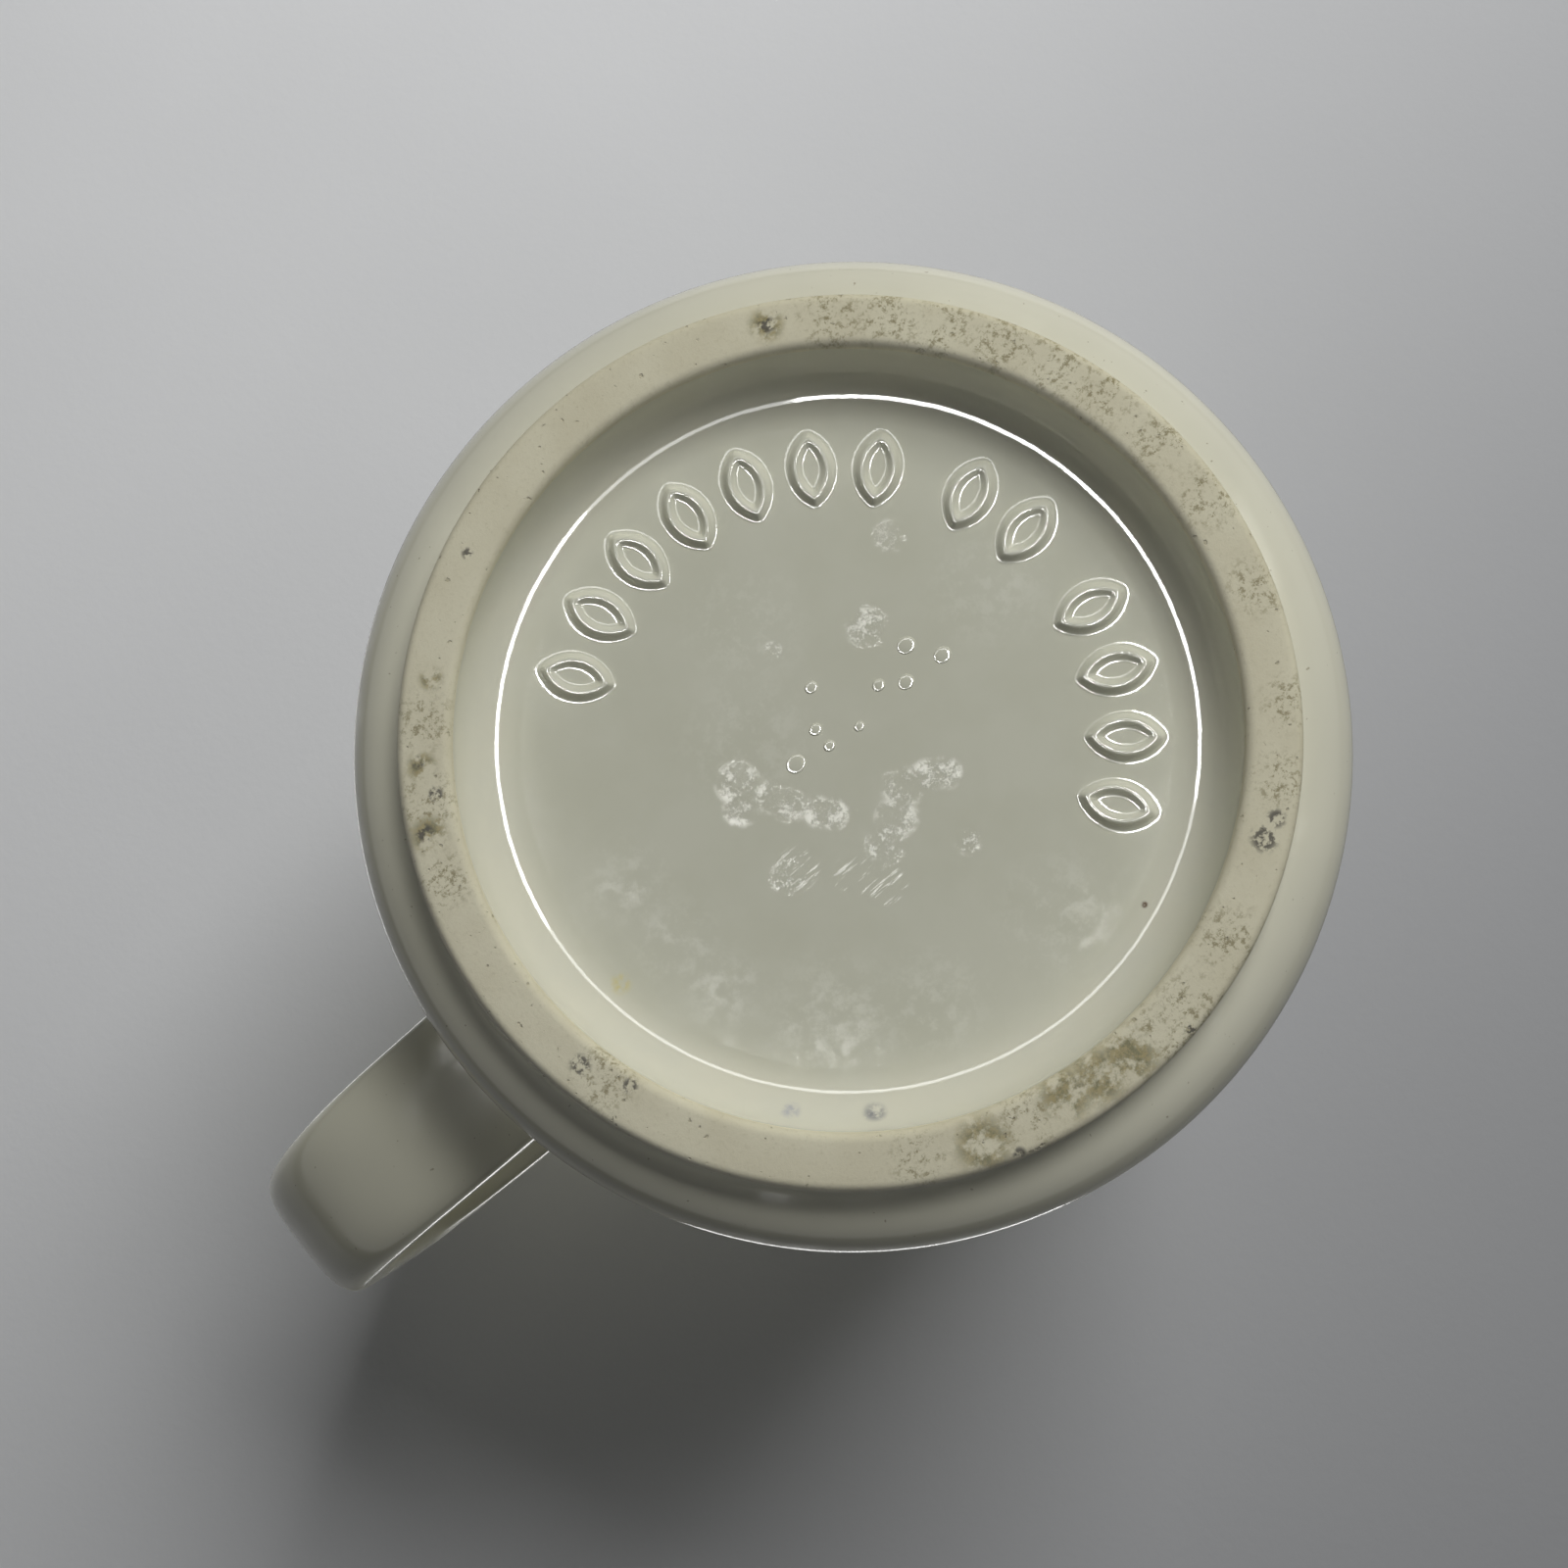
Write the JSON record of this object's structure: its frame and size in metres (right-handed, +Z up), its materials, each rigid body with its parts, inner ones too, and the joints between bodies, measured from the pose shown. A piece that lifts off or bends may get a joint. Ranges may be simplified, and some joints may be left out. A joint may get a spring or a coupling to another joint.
{
  "type": "shaving mug",
  "caption": "Glazed ceramic shaving mug: straight round cup on a bare clay foot ring with a recessed base, raised petals under it, and a luted strap handle.",
  "frame": {"origin": "middle of the foot ring, on the surface that the mug rests on", "axes": "+Z up through the opening, +X towards the handle"},
  "size_m": [0.1155, 0.085, 0.086],
  "materials": {
    "cream_glaze": "glossy cream glaze, bare beige clay on the foot ring",
    "handle_glaze": "glossy cream glaze",
    "slip_glaze": "glossy cream glaze, pooled in the fillet"
  },
  "bodies": {
    "root": {"mug_body": "cream_glaze", "handle": "handle_glaze", "lower_slip_joint": "slip_glaze", "upper_slip_joint": "slip_glaze"}
  },
  "joints": []
}
